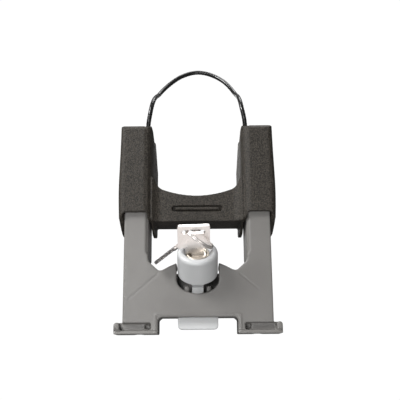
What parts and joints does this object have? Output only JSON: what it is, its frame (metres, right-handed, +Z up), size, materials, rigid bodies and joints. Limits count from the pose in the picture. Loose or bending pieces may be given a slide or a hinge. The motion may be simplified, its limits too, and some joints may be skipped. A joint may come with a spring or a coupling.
{
  "type": "handlebar bag mount",
  "caption": "Jacked clamp bracket and carrier held under a handlebar by a looped steel cable, with a key-locked spring release slider for a bag.",
  "frame": {"origin": "on the axis of the clamped handlebar, in the middle between the two arm tips", "axes": "+X along the handlebar, towards the side that is on the right in a front view; +Y to the rear, away from the face the bag hangs on; +Z up along the two arms"},
  "size_m": [0.0854, 0.0484, 0.1569],
  "materials": {
    "bracket_black": "fine grained, moulded",
    "carrier_grey": "satin, moulded",
    "slider_pale": "smooth, softly translucent looking",
    "cable_black": "black coated steel rope",
    "zinc_steel": "zinc plated",
    "black_steel": "black oxide",
    "nickel": "bright nickel plated",
    "brass": "machined"
  },
  "bodies": {
    "carrier": {"carrier": "carrier_grey", "slider_cover": "carrier_grey", "cover_screws": "zinc_steel", "wire_cable": "cable_black", "cable_clamp_left": "brass", "cable_clamp_right": "brass", "grub_screw_left": "black_steel", "grub_screw_right": "black_steel", "cable_ferrule_left": "zinc_steel", "cable_ferrule_right": "zinc_steel", "jack_nut_left": "zinc_steel", "jack_nut_right": "zinc_steel", "release_spring": "zinc_steel"},
    "bracket": {"clamp_bracket": "bracket_black"},
    "jack_left": {"jack_screw_left": "zinc_steel"},
    "jack_right": {"jack_screw_right": "zinc_steel"},
    "slider": {"release_slider": "slider_pale", "lock_body": "nickel"},
    "lock": {"lock_plug": "nickel", "lock_wafers": "brass", "lock_cam": "zinc_steel", "cam_screw": "zinc_steel"},
    "key": {"key": "nickel"},
    "ring": {"key_ring": "nickel"},
    "spare": {"spare_key": "nickel"}
  },
  "joints": [
    {"name": "bracket_slide", "type": "slide", "parent": "carrier", "child": "bracket", "axis": [0, 0, 1], "range_m": [-0.004, 0]},
    {"name": "jack_turn_left", "type": "hinge", "parent": "bracket", "child": "jack_left", "pos_m": [-0.031, -0.0045, -0.071], "axis": [0, 0, 1], "range_deg": [-2070, 10]},
    {"name": "jack_turn_right", "type": "hinge", "parent": "bracket", "child": "jack_right", "pos_m": [0.031, -0.0045, -0.071], "axis": [0, 0, 1], "range_deg": [-2070, 10]},
    {"name": "release_slide", "type": "slide", "parent": "carrier", "child": "slider", "axis": [0, 0, -1], "range_m": [0, 0.003], "stiffness_N_per_m": 800, "springref_m": -0.004, "deforming": ["release_spring"]},
    {"name": "lock_turn", "type": "hinge", "parent": "slider", "child": "lock", "pos_m": [0, -0.02305, -0.0774], "axis": [0, -0.7193, 0.6947], "range_deg": [0, 90]},
    {"name": "key_pull", "type": "slide", "parent": "lock", "child": "key", "axis": [0, -0.7193, 0.6947], "range_m": [0, 0.0055]},
    {"name": "ring_turn", "type": "hinge", "parent": "key", "child": "ring", "pos_m": [0.0007, -0.02624, -0.07113], "axis": [0.598, -0.3255, 0.7324], "range_deg": [-40, 40]},
    {"name": "spare_swing", "type": "hinge", "parent": "key", "child": "spare", "pos_m": [-0.00073, -0.0192, -0.06683], "axis": [0.6109, 0.104, -0.7849], "range_deg": [-3, 3]}
  ],
  "couplings": [
    {"joint": "jack_turn_left", "follows": "bracket_slide", "rad_per_m": 8976},
    {"joint": "jack_turn_right", "follows": "bracket_slide", "rad_per_m": 8976}
  ]
}
